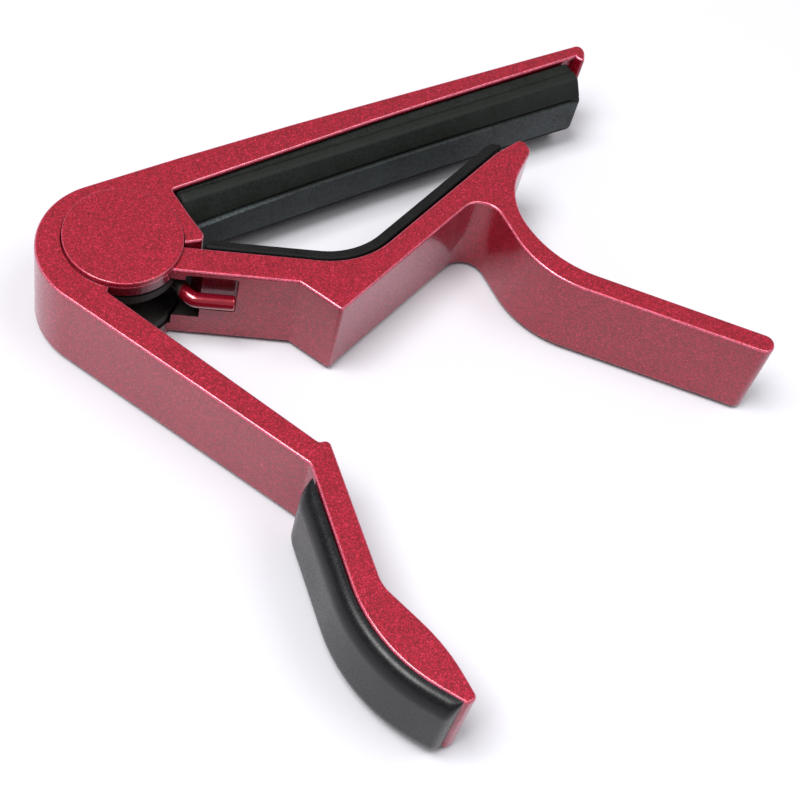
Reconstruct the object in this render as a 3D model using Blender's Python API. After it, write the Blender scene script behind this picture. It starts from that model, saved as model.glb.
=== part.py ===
"""Trigger-type guitar capo lying on its side, as thirteen separate pieces.

The pivot axis is the world Z axis. The string bar runs along +X from the pivot, and the
capo lies on the lower pivot cap, whose outer face is at z = 0. Outlines are in
millimetres in the plane across the pivot axis; heights are measured from the middle of
the capo's width and placed by the two empties, which stand on the pivot axis.
"""

import math

import bmesh
import bpy

MM = 0.001

# Driving dimensions, in millimetres
WIDTH = 12.5  # width of both castings, along the pivot axis
EAR_R = 7.25  # radius of the jaw's ears and of the pivot caps
CAP_PROUD = 0.65  # how far a pivot cap stands out of the side of the castings
EDGE = 0.35  # rounding along the castings' edges
GAP = 0.3  # space between pieces that touch
WIRE_R = 0.95  # spring wire
COIL_R = 4.25  # mean radius of the coil
PIN_R = 2.0
HEAD_R = 3.2  # pin head
COUNTERBORE_R = 5.2  # opening in an ear for the pin head
WASHER_R = 5.6
SLEEVE_R = 3.05

# Derived stations along the pivot axis, from the middle of the width
HALF = WIDTH / 2
MIDDLE = HALF + CAP_PROUD
CAVITY_Z = 2.75  # half height of the spring cavity
WEB_Z = 4.0  # outer face of the frame's webs
EAR_Z = 4.6  # inner face of the jaw's ears
SEAT_Z = 5.3  # floor of the counterbore in an ear
GRIP_HALF = HALF - 0.15  # half height of the handle grip
NECK_PAD_HALF = HALF - 0.35  # half height of the neck pad
WEB_R = EAR_R - 0.1
RECESS_R = EAR_R + GAP
SLOT_R = EAR_R + 0.35
CAVITY_R = COIL_R + WIRE_R + 0.4

# Outline corners: x, y and the radius that rounds the corner
FRAME_BAR = [
    (-16.8, 9.0, 9.9),
    (20.0, 9.2, 500.0),
    (72.3, 7.8, 0.8),
    (72.1, 6.3, 1.2),
    (71.0, 4.7, 0.25),
    (70.45, 5.6, 0.0),
    (70.4, 6.05, 0.0),
    (40.0, 5.8, 200.0),
    (8.75, 4.75, 0.3),
    (9.0, 0.5, 0.0),
    (9.35, -2.9, 0.6),
    (8.75, -3.75, 0.45),
    (6.5, -3.25, 0.0),
]
FRAME_HANDLE = [
    (-4.9, -6.35, 0.0),
    (8.25, -34.55, 0.6),
    (9.5, -34.75, 0.6),
    (6.05, -53.3, 5.0),
    (8.9, -62.5, 24.0),
    (8.8, -69.2, 0.8),
    (7.4, -69.3, 0.4),
    (1.4, -59.5, 20.0),
    (5.95, -36.8, 1.2),
]
JAW_ARM = [
    (25.2, -14.2, 11.5),
    (50.5, -4.9, 6.0),
    (55.25, -3.95, 0.9),
    (55.2, -6.3, 0.6),
    (48.05, -11.6, 10.0),
    (48.05, -22.7, 15.0),
    (68.35, -44.3, 1.35),
    (66.3, -46.2, 1.35),
    (45.25, -24.0, 14.0),
    (45.9, -9.8, 2.9),
    (19.5, -19.45, 0.5),
    (16.75, -13.8, 0.8),
]
NECK_PAD = [
    (8.75, -4.8, 0.0),
    (25.22, -13.87, 11.2),
    (50.4, -4.6, 0.0),
    (51.7, -4.3, 0.0),
    (49.7, -3.55, 2.0),
    (25.33, -12.5, 9.95),
    (9.6, -3.85, 0.3),
    (8.95, -4.2, 0.15),
]
HANDLE_GRIP = [
    (5.2, -38.4, 0.4),
    (1.07, -59.57, 20.3),
    (7.0, -68.95, 0.0),
    (5.2, -69.6, 1.2),
    (-0.69, -61.0, 19.0),
    (2.9, -40.2, 2.5),
]
# The spring's opening in the frame, and the pocket for its leg in the jaw's arm
SPRING_GATE = [
    (-5.0, -2.4),
    (-4.75, -6.1),
    (-4.0, -9.0),
    (8.0, -10.0),
    (9.6, -4.35),
    (6.5, -3.1),
    (6.2, 0.6),
    (0.0, 0.6),
]
LEG_POCKET = [(5.2, -6.5), (10.8, -9.55), (10.15, -11.2), (4.4, -8.2)]
POCKET_Z = (-1.1, 5.4)
LEG_PASSAGE = [(3.4, -5.4), (5.6, -4.9), (6.8, -5.4), (7.15, -7.3), (6.4, -8.9), (3.0, -7.6)]

# String pad: its section across the bar, from the channel floor to the contact face
PAD_X = (9.4, 69.2)
PAD_BASE_Y = 6.05
PAD_FLANK_Y = 3.0
PAD_FACE_Y = 1.2
PAD_BASE_HALF = 5.45
PAD_FACE_HALF = 2.85
CHANNEL_X = (9.0, 70.2)

# Spring legs: where they end, in the plane across the pivot axis
LEG_Z = 1.6
FRAME_LEG_END = (-0.46, -13.06)
JAW_LEG_BEND = [(5.05, -6.2), (5.25, -7.15), (5.65, -7.95), (6.35, -8.55)]
JAW_LEG_END = (10.1, -10.6)

ROUND_STEPS = 48


def arc(radius, start, end, step=7.5):
    """Points on a circle round the pivot, between two angles in degrees."""
    count = max(2, math.ceil(abs(end - start) / step))
    angles = [math.radians(start + (end - start) * i / count) for i in range(count + 1)]
    return [(radius * math.cos(a), radius * math.sin(a)) for a in angles]


def rounded(corners, step=12.0):
    """The closed outline through these corners, each with its radius as an arc."""
    points = []
    for i, (x, y, radius) in enumerate(corners):
        if radius == 0.0:
            points.append((x, y))
            continue
        before = corners[i - 1]
        after = corners[(i + 1) % len(corners)]
        ax, ay = before[0] - x, before[1] - y
        bx, by = after[0] - x, after[1] - y
        a_len, b_len = math.hypot(ax, ay), math.hypot(bx, by)
        ax, ay, bx, by = ax / a_len, ay / a_len, bx / b_len, by / b_len
        between = math.acos(max(-1.0, min(1.0, ax * bx + ay * by)))
        tangent = radius / math.tan(between / 2)
        mid_x, mid_y = ax + bx, ay + by
        mid_len = math.hypot(mid_x, mid_y)
        reach = radius / math.sin(between / 2)
        cx, cy = x + mid_x / mid_len * reach, y + mid_y / mid_len * reach
        start = math.atan2(y + ay * tangent - cy, x + ax * tangent - cx)
        end = math.atan2(y + by * tangent - cy, x + bx * tangent - cx)
        turn = (end - start + math.pi) % (2 * math.pi) - math.pi
        count = max(1, math.ceil(abs(math.degrees(turn)) / step))
        for k in range(count + 1):
            angle = start + turn * k / count
            points.append((cx + radius * math.cos(angle), cy + radius * math.sin(angle)))
    return points


def keep_outline(points):
    """The same outline with the pivot arcs left as plain corners."""
    return [(x, y, 0.0) for x, y in points]


def clear_scene():
    for obj in list(bpy.data.objects):
        bpy.data.objects.remove(obj, do_unlink=True)


def new_collection(name):
    collection = bpy.data.collections.new(name)
    bpy.context.scene.collection.children.link(collection)
    return collection


def material(name, color, roughness, metallic):
    made = bpy.data.materials.new(name)
    made.use_nodes = True
    shader = made.node_tree.nodes["Principled BSDF"]
    shader.inputs["Base Color"].default_value = (*color, 1.0)
    shader.inputs["Roughness"].default_value = roughness
    shader.inputs["Metallic"].default_value = metallic
    return made


def place(mesh, name, parent, surface, smooth=None):
    """A node in the capo's collection, standing on the pivot axis under its empty."""
    obj = bpy.data.objects.new(name, mesh)
    CAPO.objects.link(obj)
    obj.parent = parent
    mesh.materials.append(surface)
    if smooth is not None:
        mesh.shade_smooth()
        mesh.set_sharp_from_angle(angle=math.radians(smooth))
    return obj


def mesh_from_curve(curve, merge=1e-6):
    """The curve's surface as a mesh, with the caps welded on."""
    temporary = bpy.data.objects.new("temporary", curve)
    bpy.context.scene.collection.objects.link(temporary)
    bpy.context.view_layer.update()
    graph = bpy.context.evaluated_depsgraph_get()
    mesh = bpy.data.meshes.new_from_object(temporary.evaluated_get(graph))
    bpy.data.objects.remove(temporary, do_unlink=True)
    work = bmesh.new()
    work.from_mesh(mesh)
    bmesh.ops.remove_doubles(work, verts=work.verts, dist=merge)
    bmesh.ops.recalc_face_normals(work, faces=work.faces)
    work.to_mesh(mesh)
    work.free()
    return mesh


def plate(outline, low, high, edge=0.0):
    """A flat outline made solid between two heights, with rounded edges."""
    curve = bpy.data.curves.new("outline", "CURVE")
    curve.dimensions = "2D"
    curve.fill_mode = "BOTH"
    curve.extrude = ((high - low) / 2 - edge) * MM
    curve.bevel_depth = edge * MM
    curve.bevel_resolution = 1
    curve.offset = -edge * MM
    spline = curve.splines.new("POLY")
    spline.points.add(len(outline) - 1)
    for point, (x, y) in zip(spline.points, outline):
        point.co = (x * MM, y * MM, 0.0, 1.0)
    spline.use_cyclic_u = True
    mesh = mesh_from_curve(curve)
    for vertex in mesh.vertices:
        vertex.co.z += (high + low) / 2 * MM
    return mesh


def turned(profile):
    """A solid turned round the pivot axis from (radius, height) points down its outside."""
    mesh = bpy.data.meshes.new("turned")
    work = bmesh.new()
    verts = [work.verts.new((r * MM, 0.0, z * MM)) for r, z in profile]
    closed = profile[0][0] > 0.0
    pairs = list(zip(verts, verts[1:] + verts[:1])) if closed else list(zip(verts, verts[1:]))
    for first, second in pairs:
        work.edges.new((first, second))
    bmesh.ops.spin(
        work,
        geom=work.verts[:] + work.edges[:],
        axis=(0.0, 0.0, 1.0),
        cent=(0.0, 0.0, 0.0),
        angle=2 * math.pi,
        steps=ROUND_STEPS,
        use_merge=True,
    )
    bmesh.ops.remove_doubles(work, verts=work.verts, dist=1e-6)
    bmesh.ops.recalc_face_normals(work, faces=work.faces)
    work.to_mesh(mesh)
    work.free()
    return mesh


def disc(radius, low, high):
    """A plain round cutter on the pivot axis."""
    return turned([(0.0, high), (radius, high), (radius, low), (0.0, low)])


def cut(obj, mesh, name):
    """Cuts this shape out of the object."""
    cutter = bpy.data.objects.new(name, mesh)
    CUTTERS.objects.link(cutter)
    cutter.parent = obj.parent
    cutter.hide_render = True
    cutter.display_type = "WIRE"
    modifier = obj.modifiers.new(name, "BOOLEAN")
    modifier.operation = "DIFFERENCE"
    modifier.solver = "EXACT"
    modifier.object = cutter


def make_frame(parent, paint):
    """String bar, pivot lobe and handle in one casting, with webs that carry the pin."""
    corners = FRAME_BAR + keep_outline(arc(WEB_R, -26.7, -127.5)) + FRAME_HANDLE
    body = plate(rounded(corners), -HALF, HALF, EDGE)
    obj = place(body, "frame", parent, paint, smooth=35)
    reach = HALF + 1.0
    cut(obj, disc(RECESS_R, WEB_Z, reach), "upper_ear_recess")
    cut(obj, disc(RECESS_R, -reach, -WEB_Z), "lower_ear_recess")
    cut(obj, disc(CAVITY_R, -CAVITY_Z, CAVITY_Z), "spring_cavity")
    cut(obj, plate(SPRING_GATE, -CAVITY_Z, CAVITY_Z), "spring_gate")
    cut(obj, disc(PIN_R + GAP, -reach, reach), "pin_bore")
    channel = [
        (CHANNEL_X[0], PAD_BASE_Y + GAP),
        (CHANNEL_X[1], PAD_BASE_Y + GAP),
        (CHANNEL_X[1], PAD_FACE_Y),
        (CHANNEL_X[0] + 0.3, PAD_FACE_Y),
    ]
    half = PAD_BASE_HALF + GAP
    cut(obj, plate(channel, -half, half), "pad_channel")


def make_jaw(parent, paint):
    """Clamp arm and trigger handle, with two round ears over the frame's webs."""
    corners = JAW_ARM + keep_outline(arc(EAR_R, -62.1, -391.2))
    body = plate(rounded(corners), -HALF, HALF, EDGE)
    obj = place(body, "jaw", parent, paint, smooth=35)
    reach = HALF + 1.0
    cut(obj, disc(SLOT_R, -EAR_Z, EAR_Z), "ear_slot")
    cut(obj, disc(COUNTERBORE_R, SEAT_Z, reach), "upper_counterbore")
    cut(obj, disc(COUNTERBORE_R, -reach, -SEAT_Z), "lower_counterbore")
    cut(obj, disc(PIN_R + 0.15, -reach, reach), "pin_seat")
    cut(obj, plate(LEG_POCKET, *POCKET_Z), "leg_pocket")
    cut(obj, plate(LEG_PASSAGE, -CAVITY_Z, EAR_Z - 0.1), "leg_passage")


def make_caps(parent, paint):
    """A painted disc bonded over each ear, which hides the end of the pin."""
    top = HALF + CAP_PROUD
    bond = HALF + 0.1
    for name, side in (("pivot_cap_upper", 1), ("pivot_cap_lower", -1)):
        profile = [
            (0.0, top),
            (EAR_R - 0.2, top),
            (EAR_R, top - 0.2),
            (EAR_R, bond),
            (0.0, bond),
        ]
        place(turned([(r, z * side) for r, z in profile]), name, parent, paint, smooth=30)


def make_pin(parent, steel):
    """Headed pin, with a groove near its other end for the retaining ring."""
    head = SEAT_Z + 0.1
    groove = -SEAT_Z - 0.15
    profile = [
        (0.0, head + 0.7),
        (HEAD_R - 0.2, head + 0.7),
        (HEAD_R, head + 0.5),
        (HEAD_R, head),
        (PIN_R, head),
        (PIN_R, groove),
        (PIN_R - 0.4, groove),
        (PIN_R - 0.4, groove - 0.5),
        (PIN_R, groove - 0.5),
        (PIN_R, groove - 0.65),
        (PIN_R - 0.15, groove - 0.75),
        (0.0, groove - 0.75),
    ]
    place(turned(profile), "pivot_pin", parent, steel, smooth=30)
    low, high = groove - 0.4, groove - 0.1
    ring = [(HEAD_R, high), (HEAD_R, low), (PIN_R - 0.3, low), (PIN_R - 0.3, high)]
    place(turned(ring), "retaining_ring", parent, steel, smooth=30)


def make_washers(parent, nylon):
    """Thin washers between the frame's webs and the jaw's ears."""
    for name, side in (("thrust_washer_upper", 1), ("thrust_washer_lower", -1)):
        near, far = WEB_Z + 0.15, EAR_Z - 0.15
        inner = PIN_R + 0.35
        ring = [(WASHER_R, far), (WASHER_R, near), (inner, near), (inner, far)]
        place(turned([(r, z * side) for r, z in ring]), name, parent, nylon, smooth=30)


def make_sleeve(parent, nylon):
    """Sleeve on the pin that keeps the coil centred."""
    end = CAVITY_Z - 0.15
    inner = PIN_R + GAP
    ring = [(SLEEVE_R, end), (SLEEVE_R, -end), (inner, -end), (inner, end)]
    place(turned(ring), "spring_sleeve", parent, nylon, smooth=30)


def spring_path():
    """The wire's centre line: frame leg, a turn and a half of coil, jaw leg."""
    end_x, end_y = FRAME_LEG_END
    reach = math.hypot(end_x, end_y)
    start = math.degrees(math.atan2(end_y, end_x) - math.acos(COIL_R / reach))
    bend_x, bend_y = JAW_LEG_BEND[0]
    reach = math.hypot(bend_x, bend_y)
    stop = math.degrees(math.atan2(bend_y, bend_x) + math.acos(COIL_R / reach)) - 360.0
    stop -= 360.0 * math.ceil((stop - start) / 360.0 + 1.0)
    coil = arc(COIL_R, start, stop, step=20.0)
    last = len(coil) - 1
    points = [(end_x, end_y, -LEG_Z)]
    points += [(x, y, -LEG_Z + 2 * LEG_Z * i / last) for i, (x, y) in enumerate(coil)]
    points += [(x, y, LEG_Z) for x, y in JAW_LEG_BEND + [JAW_LEG_END]]
    return points


def make_spring(parent, steel):
    """Torsion spring of round wire, drawn along its centre line."""
    curve = bpy.data.curves.new("torsion_spring", "CURVE")
    curve.dimensions = "3D"
    curve.bevel_depth = WIRE_R * MM
    curve.bevel_resolution = 2
    curve.use_fill_caps = True
    path = spring_path()
    spline = curve.splines.new("POLY")
    spline.points.add(len(path) - 1)
    for point, (x, y, z) in zip(spline.points, path):
        point.co = (x * MM, y * MM, z * MM, 1.0)
    place(mesh_from_curve(curve), "torsion_spring", parent, steel, smooth=50)


def make_string_pad(parent, rubber):
    """Rubber block in the bar's channel, narrower at the face that meets the strings."""
    outline = [
        (PAD_X[0], PAD_BASE_Y),
        (PAD_X[0], PAD_FACE_Y),
        (PAD_X[1], PAD_FACE_Y),
        (PAD_X[1], PAD_BASE_Y),
    ]
    mesh = plate(outline, -PAD_BASE_HALF, PAD_BASE_HALF)
    obj = place(mesh, "string_pad", parent, rubber)
    slope = (PAD_BASE_HALF - PAD_FACE_HALF) / (PAD_FLANK_Y - PAD_FACE_Y)
    outer = PAD_BASE_HALF + 1.0
    low = PAD_FACE_Y - 1.0
    wedge = [
        (PAD_BASE_HALF + slope, PAD_FLANK_Y + 1.0),
        (PAD_FACE_HALF - slope, low),
        (outer + slope, low),
        (outer + slope, PAD_FLANK_Y + 1.0),
    ]
    for name, side in (("upper_flank", 1), ("lower_flank", -1)):
        mesh = plate(wedge, PAD_X[0] - 1.0, PAD_X[1] + 1.0)
        for vertex in mesh.vertices:
            across, up, along = vertex.co
            vertex.co = (along, up, across * side)
        work = bmesh.new()
        work.from_mesh(mesh)
        bmesh.ops.recalc_face_normals(work, faces=work.faces)
        work.to_mesh(mesh)
        work.free()
        cut(obj, mesh, name)


def make_neck_pad(parent, rubber):
    """Rubber strip on the jaw, which bears on the back of the neck."""
    place(plate(rounded(NECK_PAD), -NECK_PAD_HALF, NECK_PAD_HALF), "neck_pad", parent, rubber, smooth=30)


def make_grip(parent, rubber):
    """Moulded rubber grip on the outside of the frame's handle."""
    mesh = plate(rounded(HANDLE_GRIP), -GRIP_HALF, GRIP_HALF)
    place(mesh, "handle_grip", parent, rubber, smooth=30)


def make_capo():
    paint = material("crimson_paint", (0.45, 0.02, 0.08), 0.38, 0.6)
    rubber = material("black_rubber", (0.02, 0.02, 0.022), 0.6, 0.0)
    steel = material("spring_steel", (0.55, 0.55, 0.56), 0.25, 1.0)
    nylon = material("nylon", (0.8, 0.79, 0.74), 0.5, 0.0)
    make_frame(FIXED, paint)
    make_string_pad(FIXED, rubber)
    make_grip(FIXED, rubber)
    make_sleeve(FIXED, nylon)
    make_spring(FIXED, steel)
    make_washers(FIXED, nylon)
    make_jaw(TURNING, paint)
    make_caps(TURNING, paint)
    make_pin(TURNING, steel)
    make_neck_pad(TURNING, rubber)


def axis_empty(name):
    empty = bpy.data.objects.new(name, None)
    empty.location = (0.0, 0.0, MIDDLE * MM)
    CAPO.objects.link(empty)
    return empty


clear_scene()
CAPO = new_collection("guitar_capo")
CUTTERS = new_collection("cutters")
FIXED = axis_empty("frame_on_pivot_axis")
TURNING = axis_empty("jaw_on_pivot_axis")
make_capo()
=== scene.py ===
# %% [markdown] # A trigger capo  A capo clamps the strings of a guitar. This one is two die-cast levers on one pivot
# pin, pushed together by a torsion spring: the frame carries the string bar and a handle, and the jaw carries the neck
# pad and a trigger. The design, with every size and joint, is a packed CAD model. This script loads it as a fixed
# frame and builds fine surfaces around it, so each new piece stands where its CAD node stands and moves with the same
# body. The first lines load that frame.

# %% The fixed frame
import math

import bmesh
import bpy
import numpy as np
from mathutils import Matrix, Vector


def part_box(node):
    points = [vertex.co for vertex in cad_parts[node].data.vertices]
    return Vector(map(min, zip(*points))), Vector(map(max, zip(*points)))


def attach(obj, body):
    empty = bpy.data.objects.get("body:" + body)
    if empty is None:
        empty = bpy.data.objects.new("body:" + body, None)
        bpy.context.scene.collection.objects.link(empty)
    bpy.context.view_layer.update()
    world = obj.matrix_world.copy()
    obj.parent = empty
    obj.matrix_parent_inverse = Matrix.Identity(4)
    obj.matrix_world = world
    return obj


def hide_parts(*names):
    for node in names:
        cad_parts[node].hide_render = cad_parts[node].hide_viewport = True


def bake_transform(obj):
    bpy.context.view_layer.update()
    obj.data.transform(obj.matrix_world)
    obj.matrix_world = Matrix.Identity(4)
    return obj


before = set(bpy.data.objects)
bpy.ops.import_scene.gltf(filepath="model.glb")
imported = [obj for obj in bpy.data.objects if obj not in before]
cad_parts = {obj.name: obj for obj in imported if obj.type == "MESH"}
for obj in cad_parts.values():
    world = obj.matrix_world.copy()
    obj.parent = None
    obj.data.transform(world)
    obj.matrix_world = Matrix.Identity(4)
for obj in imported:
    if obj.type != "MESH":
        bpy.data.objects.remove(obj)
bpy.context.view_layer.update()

# %% [markdown]
# ## Heights and radii, read from the frame
#
# The pivot axis is the line x = y = 0, and the castings lie flat, so a height is a place along that axis. Reading the
# heights from the nodes' boxes keeps the fine surfaces on the CAD ones. Lengths below are in millimetres, measured
# from the middle of the capo's width, because that is how a pattern maker would draw them.

# %% Stations along the pivot axis
MM = 0.001


def node_box(name):
    """Lowest and highest corner of a CAD node, in millimetres."""
    low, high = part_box(name)
    return np.array(low) / MM, np.array(high) / MM


FRAME_LOW, FRAME_HIGH = node_box("frame")
CAP_HIGH = node_box("pivot_cap_upper")[1]
MIDDLE = (FRAME_LOW[2] + FRAME_HIGH[2]) / 2
HALF = (FRAME_HIGH[2] - FRAME_LOW[2]) / 2
CAP_R = CAP_HIGH[0]
CAP_TOP = CAP_HIGH[2] - MIDDLE
EDGE = 0.35  # rounding that the die and the paint leave on every outer edge
CAP_LIP = 0.2  # rounding of a cap's rim
print("width of the castings", round(2 * HALF, 2), "mm, cap radius", round(CAP_R, 2), "mm")

# %% [markdown]
# ## Outlines from corners
#
# A cast lever is mostly one flat outline with thickness. An outline could be a long list of points, or a Bezier curve
# nudged by eye. Here it is a short list of corners, each with the radius that rounds it, which is how a drawing gives
# it. The arc that rounds a corner touches both sides, so its centre lies on the line that halves the corner.

# %% Corners to arcs
def rounded(corners, step=4.0):
    """Closed outline (n, 2), anticlockwise, through corners (x, y, radius).

    With half the angle between the two sides called h, the centre is corner + bisector * radius / sin h, the arc
    starts and ends radius / tan h along the sides, and its points are centre + radius * (cos a, sin a).
    """
    spots = np.array([c[:2] for c in corners], float)
    radii = np.array([c[2] for c in corners], float)
    to_last = np.roll(spots, 1, axis=0) - spots
    to_next = np.roll(spots, -1, axis=0) - spots
    to_last /= np.linalg.norm(to_last, axis=1)[:, None]
    to_next /= np.linalg.norm(to_next, axis=1)[:, None]
    half = np.arccos(np.clip((to_last * to_next).sum(1), -1, 1)) / 2
    bisector = to_last + to_next
    bisector /= np.linalg.norm(bisector, axis=1)[:, None]
    centres = spots + bisector * (radii / np.sin(half))[:, None]
    runs = []
    for spot, centre, radius, last, after, h in zip(spots, centres, radii, to_last, to_next, half):
        if radius == 0:
            runs.append(spot[None])
            continue
        first = np.arctan2(*(spot + last * radius / math.tan(h) - centre)[::-1])
        final = np.arctan2(*(spot + after * radius / math.tan(h) - centre)[::-1])
        turn = (final - first + math.pi) % (2 * math.pi) - math.pi
        count = max(2, math.ceil(abs(math.degrees(turn)) / step) + 1)
        angle = first + turn * np.linspace(0, 1, count)
        runs.append(centre + radius * np.stack([np.cos(angle), np.sin(angle)], 1))
    outline = np.concatenate(runs)
    gap = np.linalg.norm(outline - np.roll(outline, 1, axis=0), axis=1)
    outline = outline[gap > 1e-5]
    x, y = outline.T
    area = (x * np.roll(y, -1) - y * np.roll(x, -1)).sum()
    return outline if area > 0 else outline[::-1]


def pivot_arc(radius, start, end, step=4.0):
    """Corners without rounding along a circle round the pivot, between two angles in degrees."""
    angle = np.radians(np.linspace(start, end, math.ceil(abs(end - start) / step) + 1))
    return [(radius * math.cos(a), radius * math.sin(a), 0.0) for a in angle]


def inset(outline, depth):
    """The outline with its sides moved inwards: each point goes along its bisector by depth / cos(half its turn)."""
    ahead = np.roll(outline, -1, axis=0) - outline
    ahead /= np.linalg.norm(ahead, axis=1)[:, None]
    out = np.stack([ahead[:, 1], -ahead[:, 0]], 1)
    both = out + np.roll(out, 1, axis=0)
    both /= np.linalg.norm(both, axis=1)[:, None]
    return outline - both * (depth / (both * out).sum(1))[:, None]


print("a square with rounded corners has", len(rounded([(0, 0, 1), (9, 0, 1), (9, 9, 1), (0, 9, 1)])), "points")

# %% [markdown]
# ## Surfaces from grids
#
# Every new surface is a grid of points, (rows, columns, 3): a ring of columns repeated down the rows. Joining each
# point to its neighbours gives quads, and the first and last rings are filled or close on a pole. Three kinds of ring
# are enough for this object: a plate's outline, a circle round the pivot, and the round section of a wire.

# %% Grid to mesh
def mesh_from_rings(name, rings, closed_rows=False):
    """A closed mesh from rings (rows, columns, 3), which run anticlockwise as seen from the first ring's side."""
    rows, columns = rings.shape[:2]
    index = np.arange(rows * columns).reshape(rows, columns)
    below = np.roll(index, -1, axis=0) if closed_rows else index[1:]
    above = index if closed_rows else index[:-1]
    quads = np.stack([above, below, np.roll(below, -1, axis=1), np.roll(above, -1, axis=1)], -1)
    faces = quads.reshape(-1, 4).tolist()
    if not closed_rows:
        faces += [index[0].tolist(), index[-1, ::-1].tolist()]
    mesh = bpy.data.meshes.new(name)
    mesh.from_pydata((rings.reshape(-1, 3) * MM).tolist(), [], faces)
    work = bmesh.new()
    work.from_mesh(mesh)
    bmesh.ops.remove_doubles(work, verts=work.verts, dist=1e-7)
    bmesh.ops.dissolve_degenerate(work, edges=work.edges, dist=1e-8)
    bmesh.ops.recalc_face_normals(work, faces=work.faces)
    work.to_mesh(mesh)
    work.free()
    return mesh


def plate(name, outline, low, high, edge=0.0, steps=5):
    """A flat outline made solid: the rim goes in by edge * (1 - sin a) while it drops by edge * (1 - cos a)."""
    angle = np.linspace(0, math.pi / 2, steps + 1) if edge else np.array([math.pi / 2])
    depth = edge * (1 - np.sin(angle))
    drop = edge * (1 - np.cos(angle)) if edge else np.zeros(1)
    depths = np.concatenate([depth, depth[::-1]])
    heights = np.concatenate([high - drop, (low + drop)[::-1]])
    flat = np.stack([inset(outline, d) for d in depths])
    tall = np.broadcast_to((heights + MIDDLE)[:, None, None], flat.shape[:2] + (1,))
    return mesh_from_rings(name, np.concatenate([flat, tall], -1))


def turned(name, profile, side=1, steps=128):
    """A surface of revolution round the pivot axis: (r cos a, r sin a, z) for each (r, z) down its outside."""
    radius, height = np.array(profile, float).T
    angle = np.linspace(0, 2 * math.pi, steps, endpoint=False)
    rings = np.stack(
        [
            np.outer(radius, np.cos(angle)),
            np.outer(radius, np.sin(angle)),
            np.broadcast_to((side * height + MIDDLE)[:, None], (len(radius), steps)),
        ],
        -1,
    )
    return mesh_from_rings(name, rings, closed_rows=radius[0] > 0)


def drum(name, radius, high, low, side=1):
    """A plain cylinder round the pivot axis, between two heights."""
    return turned(name, [(0, high), (radius, high), (radius, low), (0, low)], side)


def round_over(corner, radius, start, end, steps=6):
    """Points of an arc about (r, z), between two angles in degrees, for the corners of a turned profile."""
    angle = np.radians(np.linspace(start, end, steps))
    return [(corner[0] + radius * math.cos(a), corner[1] + radius * math.sin(a)) for a in angle]


print("a turned corner is carried by", len(round_over((0, 0), 1, 90, 0)), "points")

# %% [markdown]
# ## Shader maths as plain expressions
#
# A finish is a few masks and noises added and multiplied. Drawn as nodes that is hard to read, so one small class
# wraps a socket and gives it the signs of arithmetic: each sign adds one Math node. A second class holds the material.
# Colours are not numbers, so it mixes them with a Mix node. Numbers that hold for the whole surface go straight to
# the shader's own sockets.

# %% Sockets that add and multiply
class Amount:
    """A number that changes over the surface, held by the socket that gives it."""

    def __init__(self, finish, socket):
        self.finish = finish
        self.socket = socket

    def math(self, operation, *others):
        """One Math node on this amount and the others."""
        inputs = dict(enumerate((self, *others)))
        return self.finish.node("ShaderNodeMath", {"operation": operation}, inputs)

    def __add__(self, other):
        return self.math("ADD", other)

    __radd__ = __add__

    def __mul__(self, other):
        return self.math("MULTIPLY", other)

    __rmul__ = __mul__

    def __sub__(self, other):
        return self.math("SUBTRACT", other)

    def __rsub__(self, other):
        return (self * -1.0).math("ADD", other)

    def between(self, low, high):
        """0 below low, 1 above high, and a smooth rise from one to the other."""
        settings = {"interpolation_type": "SMOOTHSTEP"}
        return self.finish.node("ShaderNodeMapRange", settings, {"Value": self, "From Min": low, "From Max": high})


print("besides its signs, an amount knows", [name for name in vars(Amount) if not name.startswith("_")])

# %% A finish and its nodes
# The rims' band is a painted highlight: the paint there is mixed towards a pale pink.
RIM_STARTS = (0.08, 0.14)  # a rim's pale band fades in this far above the foot of the rounding
RIM_STOPS = (0.05, 0.02)  # and fades out this far below the flat face


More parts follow.
